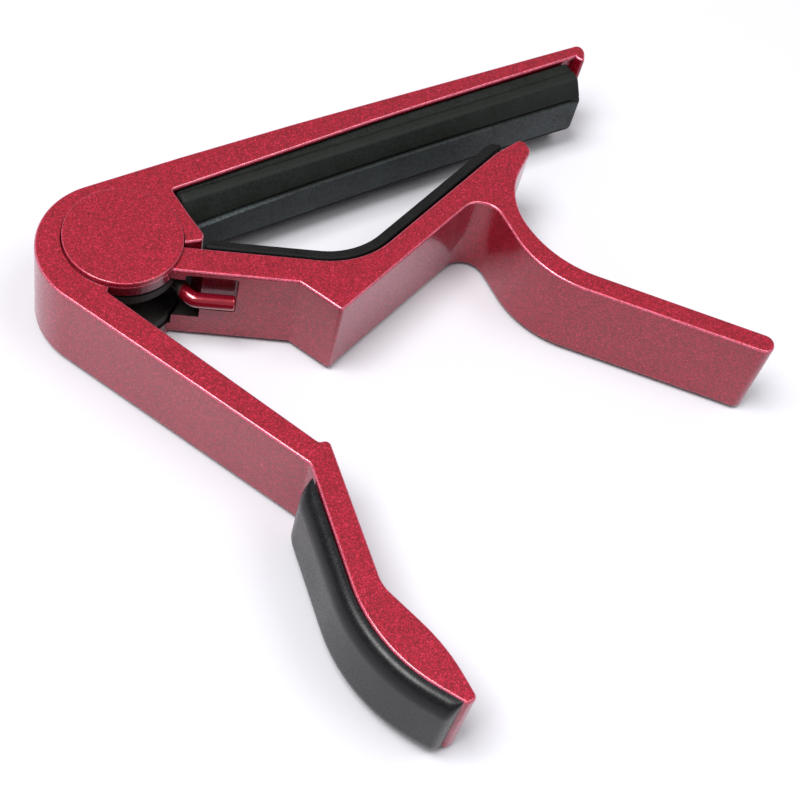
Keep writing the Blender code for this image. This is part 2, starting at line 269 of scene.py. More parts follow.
class Finish:
    """One material: its Principled shader, and one method that adds any other node."""

    def __init__(self, name, **constants):
        self.material = bpy.data.materials.new(name)
        self.material.use_nodes = True
        self.tree = self.material.node_tree
        self.shader = self.tree.nodes["Principled BSDF"]
        for socket, value in constants.items():
            self.shader.inputs[socket.replace("_", " ").title().replace("Ior", "IOR")].default_value = value
        self.place = self.node("ShaderNodeTexCoord", {}, {}, output="Object")

    def node(self, kind, settings, inputs, output=0):
        """Adds a node, with its settings first and then its sockets, each a link or a plain value."""
        made = self.tree.nodes.new(kind)
        for key, value in settings.items():
            if key == "stops":
                self.set_stops(made.color_ramp, value)
            else:
                setattr(made, key, value)
        for key, value in inputs.items():
            if isinstance(value, Amount):
                self.tree.links.new(value.socket, made.inputs[key])
            else:
                made.inputs[key].default_value = value
        return Amount(self, made.outputs[output])

    @staticmethod
    def set_stops(ramp, stops):
        while len(ramp.elements) < len(stops):
            ramp.elements.new(1.0)
        for element, (position, color) in zip(ramp.elements, stops):
            element.position = position
            element.color = (*color, 1.0)

    def shifted(self, seed):
        """The place on the piece, moved a little for each seed, so that two patterns don't line up."""
        location = (seed * 0.131, seed * 0.173, seed * 0.157)
        return self.node("ShaderNodeMapping", {}, {"Vector": self.place, "Location": location})

    def noise(self, size_mm, detail=2.0, seed=0.0, rough=0.5):
        """Soft noise, 0 to 1, whose lumps are about size_mm wide."""
        inputs = {"Vector": self.shifted(seed), "Scale": 1 / (size_mm * MM), "Detail": detail, "Roughness": rough}
        return self.node("ShaderNodeTexNoise", {}, inputs)

    def grains(self, size_mm, seed=0.0):
        """One random number, 0 to 1, for each flake or grain of about size_mm."""
        inputs = {"Vector": self.shifted(seed), "Scale": 1 / (size_mm * MM)}
        color = self.node("ShaderNodeTexVoronoi", {}, inputs, output="Color")
        return self.node("ShaderNodeSeparateColor", {}, {"Color": color})

    def rim(self):
        """1 on the rounding between a side wall and a flat face of the castings or the caps, 0 on walls and faces."""
        place = self.node("ShaderNodeSeparateXYZ", {}, {"Vector": self.place}, output="Z")
        height = (place - MIDDLE * MM).math("ABSOLUTE") * (1 / MM)
        bands = []
        for low, high in ((HALF - EDGE, HALF), (CAP_TOP - CAP_LIP, CAP_TOP)):
            over = height.between(*(low + step for step in RIM_STARTS))
            under = height.between(*(high - step for step in RIM_STOPS))
            bands.append(over * (1.0 - under))
        return bands[0] + bands[1]

    def mix(self, amount, low, high):
        """The colour low where amount is 0 and high where it is 1."""
        first, second = ((*color, 1.0) if isinstance(color, tuple) else color for color in (low, high))
        settings = {"data_type": "RGBA", "clamp_factor": True}
        return self.node("ShaderNodeMix", settings, {0: amount, 6: first, 7: second}, output=2)

    def ramp(self, amount, stops):
        """The colour that a row of stops, (position, colour), gives to an amount."""
        return self.node("ShaderNodeValToRGB", {"stops": stops}, {"Fac": amount})

    def drive(self, **sockets):
        """Links what changes over the surface to the shader's sockets of these names."""
        for name, value in sockets.items():
            self.tree.links.new(value.socket, self.shader.inputs[name.replace("_", " ").title()])

    def emboss(self, height, depth_mm, strength=1.0):
        """Feeds the shader's normal from a height, where 1 stands depth_mm above 0."""
        inputs = {"Height": height, "Distance": depth_mm * MM, "Strength": strength}
        bump = self.node("ShaderNodeBump", {}, inputs)
        self.tree.links.new(bump.socket, self.shader.inputs["Normal"])


print("a finish knows", [name for name in vars(Finish) if not name.startswith("_")])

# %% [markdown]
# ## Crimson flake paint
#
# The castings are sprayed with a crimson base full of fine metal flakes, under a clear coat. The flakes are about a
# tenth of a millimetre across: each one is a slightly different red and leans its own way, which gives the glitter.
# The clear coat adds the pale veil where a wall mirrors the white table. Over the rounded edges a narrow band of height
# is painted paler pink as a painted highlight, and made smoother and more metallic: that draws the bright lines. One
# could scatter real flakes as geometry, but cell textures of two sizes do it with no cost. The pockets and the ears'
# side walls get a darker copy of the paint as painted shade, and the inside of the housing gets bare metal darkened
# nearly to black as painted shade.

# %% Paint
FLAKE_REDS = [
    (0.0, (0.104, 0.001, 0.003)),
    (0.30, (0.194, 0.001, 0.006)),
    (0.60, (0.290, 0.002, 0.011)),
    (0.85, (0.425, 0.006, 0.030)),
    (1.0, (0.720, 0.050, 0.120)),
]
RIM_HIGHLIGHT_PINK = (0.90, 0.24, 0.36)
CLEAR_COAT = {"coat_weight": 0.8, "coat_roughness": 0.14}


def crimson_paint(name, light):
    """The paint, with each red scaled by light: 1 outside, and less for painted shade in pockets and on ears' side
    walls.
    """
    paint = Finish(name, specular_tint=(1.0, 0.7, 1.0, 1.0), specular_ior_level=0.4, **CLEAR_COAT)
    flakes = paint.grains(0.15)
    fine = paint.grains(0.09, seed=3.0)
    cloud = paint.noise(6.0, detail=3.0, seed=5.0)
    tone = 0.7 * flakes + 0.3 * fine
    reds = [(at, tuple(light * part for part in red)) for at, red in FLAKE_REDS]
    color = paint.ramp(tone + 0.10 * (cloud - 0.5), reds)
    # Painted highlight: the rims' band mixes the reds towards pale pink, sparkling with the fine flakes.
    rim = paint.rim() * (0.1 + 0.6 * fine)
    spark = flakes.between(0.93, 0.97)
    paint.drive(base_color=paint.mix(rim, color, RIM_HIGHLIGHT_PINK), metallic=0.35 + 0.3 * rim)
    paint.drive(roughness=0.42 - 0.2 * spark + 0.08 * (fine - 0.5) - 0.14 * rim)
    peel = paint.noise(1.4, detail=2.0, seed=9.0)
    paint.emboss(0.5 * flakes + 0.25 * fine + 2.0 * peel, 0.014)
    return paint.material


def shaded_bare_casting():
    """The inside of the housing: dull grey-brown bare cast metal, darkened nearly to black as painted shade."""
    bare = Finish("shaded_bare_casting", metallic=0.4, roughness=0.6)
    stain = bare.noise(1.6, detail=4.0)
    skin = bare.grains(0.2)
    # Painted shade: the colours run from near black to a very dark grey-brown.
    bare.drive(base_color=bare.mix(0.7 * stain + 0.3 * skin, (0.004, 0.003, 0.003), (0.030, 0.022, 0.020)))
    bare.drive(roughness=0.5 + 0.25 * stain)
    bare.emboss(skin + stain, 0.01)
    return bare.material


PAINT = crimson_paint("crimson_paint", 1.0)
# Painted shade: a copy of the paint with its reds at 0.45, for the pockets and the ears' side walls.
SHADED_PAINT = crimson_paint("crimson_paint_painted_shade", 0.45)
SHADED_BARE = shaded_bare_casting()
print("paint nodes", len(PAINT.node_tree.nodes))

# %% [markdown]
# ## Moulded rubber
#
# The pads and the grip are black rubber from a steel mould. The mould's fine texture makes the rubber satin, and dust
# in the texture greys it. On the string pad, painted light lightens the face, which mirrors the table, and faintly the
# lit top of the bead, and painted shade darkens the rest. The grip's texture is finer, so its rim shines. All three
# come from one function with a grain size and a sheen.

# %% Rubber
def moulded_rubber(name, dark, light, roughness, grain_mm, grain_depth_mm, specular, shade_share=0.0):
    """Rubber whose colour wanders between dark and light; given a share, it is darkened by that share as painted shade
    where the painted-light attribute is 0.
    """
    rubber = Finish(name, specular_ior_level=specular)
    grain = rubber.noise(grain_mm, detail=4.0, rough=0.6)
    dust = rubber.noise(3.5, detail=5.0, seed=2.0, rough=0.62)
    mottle = rubber.grains(grain_mm * 1.4, seed=4.0)
    tone = (0.55 * dust + 0.3 * mottle + 0.15 * grain).between(0.1, 0.9)
    # Painted light and shade: the attribute keeps the tone where it is 1 and darkens it by the given share where it is
    # 0.
    if shade_share:
        worn = rubber.node("ShaderNodeAttribute", {"attribute_name": "worn"}, {}, output="Fac")
        tone = tone * (1.0 - shade_share * (1.0 - worn))
    rubber.drive(base_color=rubber.mix(tone, dark, light))
    rubber.drive(roughness=roughness + 0.16 * (dust - 0.5) + 0.1 * (mottle - 0.5))
    rubber.emboss(grain + 0.3 * mottle, grain_depth_mm)
    return rubber.material


# Painted light: the pad rubber's lighter colour shows where the painted-light attribute is 1, on the face and faintly
# the bead.
PAD_RUBBER = moulded_rubber("pad_rubber", (0.004, 0.005, 0.003), (0.066, 0.079, 0.084), 0.6, 0.16, 0.012, 0.18, 0.92)
NECK_RUBBER = moulded_rubber("neck_rubber", (0.002, 0.002, 0.002), (0.009, 0.009, 0.009), 0.6, 0.16, 0.012, 0.12)
GRIP_RUBBER = moulded_rubber("grip_rubber", (0.002, 0.002, 0.003), (0.007, 0.007, 0.008), 0.30, 0.12, 0.008, 0.25)
print("pad rubber nodes", len(PAD_RUBBER.node_tree.nodes))

# %% [markdown]
# ## Steel and nylon
#
# The pin and its ring are plated steel: smooth, with faint marks that only change how sharp the reflection is. The
# sleeve and washers are natural nylon, milky and slightly uneven. The spring wire is grey steel inside the housing.
# On its leg the wire is glossy crimson, a painted reflection of the red walls round it, and the change lies a set
# distance from the pivot.

# %% Metal and nylon
def plated_steel(name, color, roughness):
    """Metal whose colour falls to 0.72 of itself in the stains, and whose roughness wanders by a tenth or so."""
    steel = Finish(name, metallic=1.0, roughness=roughness)
    marks = steel.noise(0.35, detail=4.0)
    stain = steel.noise(2.2, detail=3.0, seed=6.0)
    dull = tuple(0.72 * part for part in color)
    steel.drive(base_color=steel.mix(stain.between(0.35, 0.75), color, dull))
    steel.drive(roughness=roughness + 0.14 * (marks - 0.5) + 0.08 * (stain - 0.5))
    steel.emboss(marks, 0.003)
    return steel.material


def milky_nylon():
    """Off-white plastic that lets a little light in, cloudy in colour and in gloss by the same noise."""
    nylon = Finish("natural_nylon", subsurface_weight=0.15, subsurface_scale=0.001)
    cloud = nylon.noise(1.8, detail=3.0)
    nylon.drive(base_color=nylon.mix(cloud, (0.66, 0.65, 0.59), (0.80, 0.79, 0.74)), roughness=0.42 + 0.15 * cloud)
    nylon.emboss(cloud, 0.01)
    return nylon.material


# Painted reflection: past this distance from the pivot the wire turns crimson.
RED_REFLECTION_STARTS = (0.0079, 0.0085)  # from the pivot axis, in metres


def wire_with_painted_reflection():
    """Grey spring steel in the cavity, and on the leg a glossy crimson that is a painted reflection of the red walls.

    The spring bends as the jaw opens, so its pattern is tied to the points' places at rest, kept in an attribute.
    """
    wire = Finish("wire_with_painted_reflection", coat_weight=1.0, coat_roughness=0.1)
    wire.place = wire.node("ShaderNodeAttribute", {"attribute_name": "rest"}, {}, output="Vector")
    flat = wire.node("ShaderNodeVectorMath", {"operation": "MULTIPLY"}, {0: wire.place, 1: (1.0, 1.0, 0.0)})
    away = wire.node("ShaderNodeVectorMath", {"operation": "LENGTH"}, {0: flat}, output="Value")
    marks = wire.noise(0.35, detail=4.0)
    patchy = wire.noise(1.2, detail=3.0, seed=6.0)
    # Painted reflection: spray is 1 where the wire is crimson.
    spray = (away + 0.0012 * (patchy - 0.5)).between(*RED_REFLECTION_STARTS)
    steel = wire.mix(patchy, (0.12, 0.11, 0.10), (0.34, 0.31, 0.29))
    red_reflection = wire.mix(marks, (0.20, 0.002, 0.010), (0.32, 0.006, 0.024))
    wire.drive(base_color=wire.mix(spray, steel, red_reflection), roughness=0.26 - 0.08 * spray + 0.1 * (marks - 0.5))
    wire.drive(metallic=0.9 - 0.35 * spray)
    wire.emboss(marks, 0.002)
    return wire.material


SPRING_STEEL = wire_with_painted_reflection()
PIN_STEEL = plated_steel("pin_steel", (0.62, 0.62, 0.64), 0.3)
NYLON = milky_nylon()
print("materials", len(bpy.data.materials))

# %% [markdown]
# ## Standing a piece in the frame
#
# Each new piece rides on the body of the node that it replaces, and hides that node.
# A casting gets its recesses from exact Booleans, and a cutter's upper rim flares in a quarter circle, so that the
# edge of a recess is rounded too. Each face then gets the paint, or painted shade by where it lies: the darker copy of
# the paint, or bare metal darkened nearly to black.
# Weighted normals keep the flat faces flat beside their rounded edges.

# %% Pieces
def piece(name, mesh, finish, node, body, sharp=38.0):
    """An object at the origin with its place in its mesh, shaded smooth up to sharp degrees."""
    obj = bpy.data.objects.new(name, mesh)
    bpy.context.scene.collection.objects.link(obj)
    if not mesh.materials:
        mesh.materials.append(finish)
    mesh.shade_smooth()
    mesh.set_sharp_from_angle(angle=math.radians(sharp))
    weighted = obj.modifiers.new("flat_faces", "WEIGHTED_NORMAL")
    weighted.keep_sharp = True
    weighted.weight = 100
    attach(obj, body)
    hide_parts(node)
    print(name, len(mesh.polygons), "faces")
    return obj


# %% Spray
POCKET_FAR = 14.0  # no pocket reaches this far from the pivot


def spray(mesh, radius, height, ear=None, pocket=None):
    """Paint for each face, with painted shade: near-black bare metal inside the housing, nearer the pivot than radius
    and nearer the middle than height.

    An ear's side wall, beyond the distance ear from the pivot, gets the darker paint as painted shade. A pocket (start,
    end, top, reach) sinks in from the wall between two points. Its faces lie under top and from 0.1 to 3 mm behind that
    wall, which is their distance from the line through both points: as painted shade, near-black bare metal within
    reach of the pivot, and the darker paint beyond it.
    """
    mesh.materials.clear()
    for finish in (PAINT, SHADED_BARE, SHADED_PAINT):
        mesh.materials.append(finish)
    centres = np.empty(len(mesh.polygons) * 3, np.float32)
    mesh.polygons.foreach_get("center", centres)
    x, y, z = centres.reshape(-1, 3).T / MM
    away = np.hypot(x, y)
    tall = abs(z - MIDDLE)
    # Painted shade: index 1 is the near-black bare metal and index 2 the darker paint.
    index = ((away < radius) & (tall < height)).astype(np.int32)
    if ear:
        index[(index == 0) & (away > ear) & (away < radius) & (tall < HALF - EDGE)] = 2
    if pocket:
        (x0, y0), (x1, y1), top, reach = pocket
        behind = ((y1 - y0) * (x - x0) - (x1 - x0) * (y - y0)) / -math.hypot(x1 - x0, y1 - y0)
        sunk = (behind > 0.1) & (behind < 3.0) & (away > radius) & (away < POCKET_FAR) & (tall < top)
        # Painted shade in the pocket: near-black within reach of the pivot, the darker paint beyond it.
        index[sunk] = np.where(away < reach, 1, 2)[sunk]
    mesh.polygons.foreach_set("material_index", index)
    print(mesh.name, "has faces painted, bare and thinly painted:", np.bincount(index, minlength=3).tolist())


print("the spray chooses from", PAINT.name, SHADED_BARE.name, SHADED_PAINT.name)


# %% Cuts
def cut(mesh, cutters):
    """The mesh with each cutter's volume taken out."""
    solid = bpy.data.objects.new("solid", mesh)
    bpy.context.scene.collection.objects.link(solid)
    tools = []
    for cutter in cutters:
        tool = bpy.data.objects.new(cutter.name, cutter)
        bpy.context.scene.collection.objects.link(tool)
        boolean = solid.modifiers.new(cutter.name, "BOOLEAN")
        boolean.operation = "DIFFERENCE"
        boolean.solver = "EXACT"
        boolean.object = tool
        tools.append(tool)
    bpy.context.view_layer.update()
    graph = bpy.context.evaluated_depsgraph_get()
    result = bpy.data.meshes.new_from_object(solid.evaluated_get(graph))
    for obj in [solid, *tools]:
        bpy.data.objects.remove(obj, do_unlink=True)
    return result


def recess(name, radius, floor, edge, side=1, top=HALF):
    """A round cutter from floor to above the top face, whose rim flares outwards by edge."""
    flare = round_over((radius + edge, top - edge), edge, 180, 90)
    profile = [(0, top + 1), (radius + edge, top + 1), *flare[::-1], (radius, floor), (0, floor)]
    return turned(name, profile, side)


# %% [markdown]
# ## The frame casting
#
# String bar, pivot lobe and handle are one casting. Its outline starts at the lobe, runs out along the back of the
# bar to the hooked tip, returns under the bar to the shoulder, follows the web round the pin, and goes down one side
# of the handle to the leaf-shaped thumb end and up the other. Two round recesses take the jaw's ears, a cavity
# between the webs takes the coil, and a channel under the bar takes the string pad.

# %% Frame outline
WEB_R = 7.15
bar = [
    (-16.8, 9.0, 9.9),
    (20.0, 9.2, 500.0),
    (72.3, 7.8, 0.9),
    (72.1, 6.3, 1.2),
    (71.0, 4.7, 0.4),
    (70.45, 5.6, 0.0),
    (70.4, 6.05, 0.0),
    (40.0, 5.8, 200.0),
    (8.75, 4.75, 0.3),
    (9.0, 0.5, 0.0),
    (9.35, -2.9, 0.7),
    (8.75, -3.75, 0.5),
    (6.5, -3.25, 0.0),
]
handle = [
    (-4.9, -6.35, 0.0),
    (8.25, -34.55, 0.6),
    (9.5, -34.75, 0.7),
    (6.05, -53.3, 5.0),
    (8.9, -62.5, 24.0),
    (8.8, -69.2, 0.8),
    (7.4, -69.3, 0.45),
    (1.4, -59.5, 20.0),
    (5.95, -36.8, 1.2),
]
frame_outline = rounded(bar + pivot_arc(WEB_R, -26.7, -127.5) + handle)
print("frame outline", len(frame_outline), "points")

# %% Frame cuts
RECESS_R = 7.37
RECESS_FLARE = 0.06
WEB_Z = 4.0
CAVITY_R = 5.6
CAVITY_Z = 2.75
PIN_HOLE_R = 2.3
GATE = [(-5.0, -2.4), (-4.75, -6.1), (-4.0, -9.0), (8.0, -10.0), (9.6, -4.35), (6.5, -3.1), (6.2, 0.6), (0.0, 0.6)]
CHANNEL = [(9.0, 6.35), (70.2, 6.35), (70.2, 0.9), (9.3, 0.9)]
CHANNEL_HALF = 5.75


def sharp_corners(points):
    """The outline through these points, with no rounding."""
    return rounded([(x, y, 0.0) for x, y in points])


frame_cutters = [
    recess("upper_recess", RECESS_R, WEB_Z, RECESS_FLARE),
    recess("lower_recess", RECESS_R, WEB_Z, RECESS_FLARE, side=-1),
    drum("cavity", CAVITY_R, CAVITY_Z, -CAVITY_Z),
    plate("gate", sharp_corners(GATE), -CAVITY_Z, CAVITY_Z),
    drum("pin_hole", PIN_HOLE_R, HALF, -HALF),
    plate("channel", sharp_corners(CHANNEL), -CHANNEL_HALF, CHANNEL_HALF),
]
frame_mesh = cut(plate("frame_casting", frame_outline, -HALF, HALF, EDGE), frame_cutters)
# Painted shade: the inside of the housing gets near-black bare metal.
spray(frame_mesh, RECESS_R + 0.02, HALF - 0.3)
piece("frame_casting", frame_mesh, PAINT, "frame", "frame")

# %% [markdown]
# ## The jaw casting
#
# The jaw starts as two round ears over the frame's webs. Its arm dips to the V under the neck, rises to the tip that
# meets the last string, and forks back into the long trigger. A slot takes the webs, and a pocket in the arm's outer
# wall, open into the slot, takes the spring's leg.

# %% Jaw outline
EAR_R = 7.25
arm = [
    (25.2, -14.2, 11.5),
    (50.5, -4.9, 6.0),
    (55.25, -3.95, 0.9),
    (55.2, -6.3, 1.3),
    (48.05, -11.6, 10.0),
    (48.05, -22.7, 15.0),
    (68.35, -44.3, 1.35),
    (66.3, -46.2, 1.35),
    (45.25, -24.0, 14.0),
    (45.9, -9.8, 2.9),
    (19.5, -19.45, 0.5),
    (16.75, -13.8, 0.8),
]
jaw_outline = rounded(arm + pivot_arc(EAR_R, -62.1, -391.2))
print("jaw outline", len(jaw_outline), "points")

# %% Jaw cuts
SLOT_R = 7.6
EAR_Z = 4.6
SEAT_R = 5.2
SEAT_Z = 5.3
PIN_SEAT_R = 2.15
POCKET = [(5.2, -6.5), (10.8, -9.55), (10.15, -11.2), (4.4, -8.2)]
POCKET_Z = (-1.1, 5.4)
POCKET_WALL = ((3.39, -6.41), (16.75, -13.8))
# Painted shade: within this distance of the pivot the pocket is near-black, beyond it the darker paint.
BLACK_SHADE_REACH = 9.4
PASSAGE = [(3.4, -5.4), (5.6, -4.9), (6.8, -5.4), (7.15, -7.3), (6.4, -8.9), (3.0, -7.6)]

jaw_cutters = [
    drum("slot", SLOT_R, EAR_Z, -EAR_Z),
    drum("upper_seat", SEAT_R, HALF + 1, SEAT_Z),
    drum("lower_seat", SEAT_R, HALF + 1, SEAT_Z, side=-1),
    drum("pin_seat", PIN_SEAT_R, HALF, -HALF),
    plate("pocket", sharp_corners(POCKET), *POCKET_Z, edge=0.4),
    plate("passage", sharp_corners(PASSAGE), -CAVITY_Z, EAR_Z - 0.1),
]
jaw_mesh = cut(plate("jaw_casting", jaw_outline, -HALF, HALF, EDGE), jaw_cutters)
jaw_pocket = (*POCKET_WALL, POCKET_Z[1] + 0.1, BLACK_SHADE_REACH)
# Painted shade: the slot and passage get near-black bare metal, the pocket's far part and the ears' side walls the
# darker paint.
spray(jaw_mesh, SLOT_R + 0.1, EAR_Z + 0.1, ear=EAR_R - 0.1, pocket=jaw_pocket)
piece("jaw_casting", jaw_mesh, PAINT, "jaw", "jaw")

# %% [markdown]
# ## The turned pieces
#
# The pivot caps, the headed pin, its ring, the washers and the sleeve are all turned, so each is a profile carried
# round the axis. Small radii on their corners catch the light the way a lathe or a mould leaves them.

# %% Profiles of the turned pieces
PIN_R = 2.0
PIN_HEAD_R = 3.2
PIN_GROOVE_R = 1.6


def cap_profile():
    """A disc whose face rounds over at the rim and whose skirt follows the ear's own rounded edge."""
    face = [(0, CAP_TOP), *round_over((CAP_R - CAP_LIP, CAP_TOP - CAP_LIP), CAP_LIP, 90, 0)]
    skirt = round_over((CAP_R - EDGE, HALF - EDGE), EDGE + 0.01, 5, 85)
    return [*face, (CAP_R, skirt[0][1]), *skirt, (0, HALF + 0.02)]


def pin_profile():
    """A rounded flat head, a plain shank, a groove 0.5 mm wide for the ring, and a point that tapers a little."""
    head, groove = SEAT_Z + 0.1, -SEAT_Z - 0.15
    rim = round_over((PIN_HEAD_R - 0.3, head + 0.4), 0.3, 90, 0)
    top = [(0, head + 0.7), *rim, (PIN_HEAD_R, head), (PIN_R, head)]
    waist = [(PIN_R, groove), (PIN_GROOVE_R, groove), (PIN_GROOVE_R, groove - 0.5), (PIN_R, groove - 0.5)]
    return [*top, *waist, (PIN_R - 0.15, groove - 0.75), (0, groove - 0.75)]


def ring_profile(inner, outer, low, high, chamfer):
    """A flat ring with its four corners broken by the same chamfer."""
    c = chamfer
    out = [(outer - c, high), (outer, high - c), (outer, low + c), (outer - c, low)]
    back = [(inner + c, low), (inner, low + c), (inner, high - c), (inner + c, high)]
    return out + back


print("points on the pin's profile", len(pin_profile()))

# %% Caps, pin, ring, washers and sleeve
for name, side in (("pivot_cap_upper", 1), ("pivot_cap_lower", -1)):
    piece(name + "_face", turned(name, cap_profile(), side), PAINT, name, "jaw")
for name, side in (("thrust_washer_upper", 1), ("thrust_washer_lower", -1)):
    washer = turned(name, ring_profile(2.35, 5.6, 4.15, 4.45, 0.05), side)
    piece(name + "_ring", washer, NYLON, name, "frame")
piece("headed_pin", turned("headed_pin", pin_profile()), PIN_STEEL, "pivot_pin", "jaw")
clip = turned("push_on_ring", ring_profile(1.7, 3.3, -5.85, -5.55, 0.06))
piece("push_on_ring", clip, PIN_STEEL, "retaining_ring", "jaw")
sleeve = turned("coil_sleeve", ring_profile(2.3, 3.05, -2.6, 2.6, 0.1))
piece("coil_sleeve", sleeve, NYLON, "spring_sleeve", "frame")

# %% [markdown]
# ## The torsion spring
#
# Round wire, wound once and a half round the sleeve. One leg lies along the inside of the handle and the other runs
# out of the cavity, bends, and rests in the jaw's pocket. The centre line is worked out first: two straight legs that
# leave the coil along its tangent, and a helix between them that climbs from the lower leg's height to the upper one.
# A circle is then carried along it. The wire never stands upright, so the pivot axis serves as its fixed "up". One
# end turns with the jaw and the other stays with the frame; the heights over which the piece would be blended between
# the two bodies are worked out, but it is not blended or tied to either body.

# %% Spring line
COIL_R = 4.25
LEG_Z = 1.6
FRAME_LEG_END = (-0.46, -13.06)
BEND = [(5.05, -6.2), (5.2, -7.2), (5.55, -8.1), (6.25, -8.75)]
JAW_LEG_END = (10.0, -10.8)


def tangent_angle(point, side):
    """Where, in degrees, a line from the point touches the coil's circle, on one side of it or the other."""
    reach = math.hypot(*point)
    return math.degrees(math.atan2(point[1], point[0]) + side * math.acos(COIL_R / reach))


def smooth_path(points, count):
    """A Catmull-Rom curve through the points: on each stretch, the cubic with the neighbours' chords as its slopes."""
    padded = np.concatenate([2 * points[:1] - points[1:2], points, 2 * points[-1:] - points[-2:-1]])
    t = np.linspace(0, len(points) - 1 - 1e-9, count)
    i = t.astype(int)
    s = (t - i)[:, None]
    a, b, c, d = (padded[i + k] for k in range(4))
    return 0.5 * (2 * b + (c - a) * s + (2 * a - 5 * b + 4 * c - d) * s**2 + (3 * b - a - 3 * c + d) * s**3)


def spring_line():
    """Lower leg, coil and upper leg; the coil's height rises as the cubic 1.5 t - 0.5 t^3, level at both its ends."""
    first = tangent_angle(FRAME_LEG_END, -1)
    last = tangent_angle(BEND[0], 1) - 360.0
    last -= 360.0 * math.ceil((last - first) / 360.0 + 1.0)
    angle = np.radians(np.linspace(first, last, 181))
    climb = np.linspace(-1, 1, len(angle))
    height = LEG_Z * (climb * (1.5 - 0.5 * climb**2))
    coil = np.stack([COIL_R * np.cos(angle), COIL_R * np.sin(angle), height], 1)
    lower = np.linspace((*FRAME_LEG_END, -LEG_Z), coil[0], 16)[:-1]
    knots = np.array([(*coil[-1][:2], LEG_Z), *((x, y, LEG_Z) for x, y in BEND + [JAW_LEG_END])])
    return np.concatenate([lower, coil[:-1], smooth_path(knots, 61)])


print("points along the spring", len(spring_line()))

# %% Wire along a path
WIRE_R = 0.95
WIRE_NOSE = 0.25


def wire(name, line, radius, sides=24, nose=WIRE_NOSE):
    """A round wire: point (i, j) = line_i + r_i (side cos a_j + up sin a_j), where r shrinks at the two noses."""
    forward = np.gradient(line, axis=0)
    forward /= np.linalg.norm(forward, axis=1)[:, None]
    sideways = np.cross(forward, (0.0, 0.0, 1.0))
    sideways /= np.linalg.norm(sideways, axis=1)[:, None]
    up = np.cross(sideways, forward)
    along = np.concatenate([[0], np.cumsum(np.linalg.norm(np.diff(line, axis=0), axis=1))])
    to_end = np.minimum(along, along[-1] - along)
    reach = radius - nose + np.sqrt(np.clip(nose**2 - np.clip(nose - to_end, 0, nose) ** 2, 0, None))
    angle = np.linspace(0, 2 * math.pi, sides, endpoint=False)
    circle = sideways[:, None] * np.cos(angle)[None, :, None] + up[:, None] * np.sin(angle)[None, :, None]
    rings = line[:, None] + circle * reach[:, None, None]
    rings[..., 2] += MIDDLE
    return mesh_from_rings(name, rings)


def finer_ends(line, nose=WIRE_NOSE, steps=5):
    """The same line with a few close points over the first and last nose length, for the rounded ends."""
    share = 1 - np.cos(np.linspace(0, math.pi / 2, steps))
    ahead = (line[1] - line[0]) / np.linalg.norm(line[1] - line[0])
    behind = (line[-2] - line[-1]) / np.linalg.norm(line[-2] - line[-1])
    start = line[0] + ahead * (share * nose)[:, None]
    end = line[-1] + behind * (share * nose)[::-1, None]
    return np.concatenate([start, line[1:-1], end])


print("with finer ends", len(finer_ends(spring_line())))

# %% Spring
GRIP_OF_BODIES = 0.02  # each body holds the wire wholly this far past its leg
spring_mesh = wire("coil_spring", finer_ends(spring_line()), WIRE_R)
spring = bpy.data.objects.new("coil_spring", spring_mesh)
bpy.context.scene.collection.objects.link(spring)
spring_mesh.materials.append(SPRING_STEEL)
spring_mesh.shade_smooth()
at_rest = np.empty(len(spring_mesh.vertices) * 3, np.float32)
spring_mesh.vertices.foreach_get("co", at_rest)
spring_mesh.attributes.new("rest", "FLOAT_VECTOR", "POINT").data.foreach_set("vector", at_rest)
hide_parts("torsion_spring")
coil_low = (0.0, 0.0, (MIDDLE - LEG_Z + WIRE_R + GRIP_OF_BODIES) * MM)
coil_high = (0.0, 0.0, (MIDDLE + LEG_Z - WIRE_R - GRIP_OF_BODIES) * MM)
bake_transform(spring)
print("spring", len(spring_mesh.polygons), "faces, blends over", round((coil_high[2] - coil_low[2]) / MM, 2), "mm")

# %% [markdown]
# ## The string pad
#
# A solid rubber block pushed into the bar's channel. Seen from its end it stands straight out of the channel, swells
# to a bead, then slopes in to the face that presses on the strings, which a narrow groove parts from each slope. That
# face is hollowed along its length by a third of a millimetre, so that the bar, which bends a little, presses evenly.
# The section is an outline of its own, and the pad is that section carried along the bar, with its depth changed a
# little from place to place. The grooves run out just before the pad's rounded ends. An attribute marks painted light:
# all of the face, which mirrors the table, and faintly the lit top of the bead; elsewhere the rubber is darkened as
# painted shade.

# %% Section of the string pad
PAD_LOW, PAD_HIGH = node_box("string_pad")
PAD_X = (PAD_LOW[0], PAD_HIGH[0])
PAD_BASE = PAD_HIGH[1]
PAD_FACE = PAD_LOW[1]
FACE_HALF = 2.5
SLOPE_HALF = 3.05
SLOPE_FOOT = 1.4
one_side = [
    (5.3, PAD_BASE, 0.1),
    (5.3, 4.6, 0.3),
    (5.55, 4.25, 0.5),
    (5.4, 3.1, 0.8),
    (SLOPE_HALF, SLOPE_FOOT, 0.25),
    (2.95, 1.85, 0.05),
    (2.6, 1.85, 0.05),
    (FACE_HALF, PAD_FACE, 0.1),
]
section = rounded([(-across, depth, radius) for across, depth, radius in one_side] + one_side[::-1], step=18.0)
print("pad section", len(section), "points")


def without_groove(outline):
    """The section with each groove filled up to the straight line from the slope's foot to the face's edge."""
    across, depth = abs(outline[:, 0]), outline[:, 1]
    chord = np.interp(across, [FACE_HALF, SLOPE_HALF], [PAD_FACE, SLOPE_FOOT])
    filled = np.where(across < SLOPE_HALF, np.minimum(depth, chord), depth)
    return np.stack([outline[:, 0], filled], 1)


# %% String pad
PAD_NOSE = 0.5
PAD_ROWS = 121
GROOVE_END = (0.4, 2.0)  # a groove starts this far from the pad's end, and has its full depth after this much more
HOLLOW_AT = 0.6  # share of the length at which the face is deepest
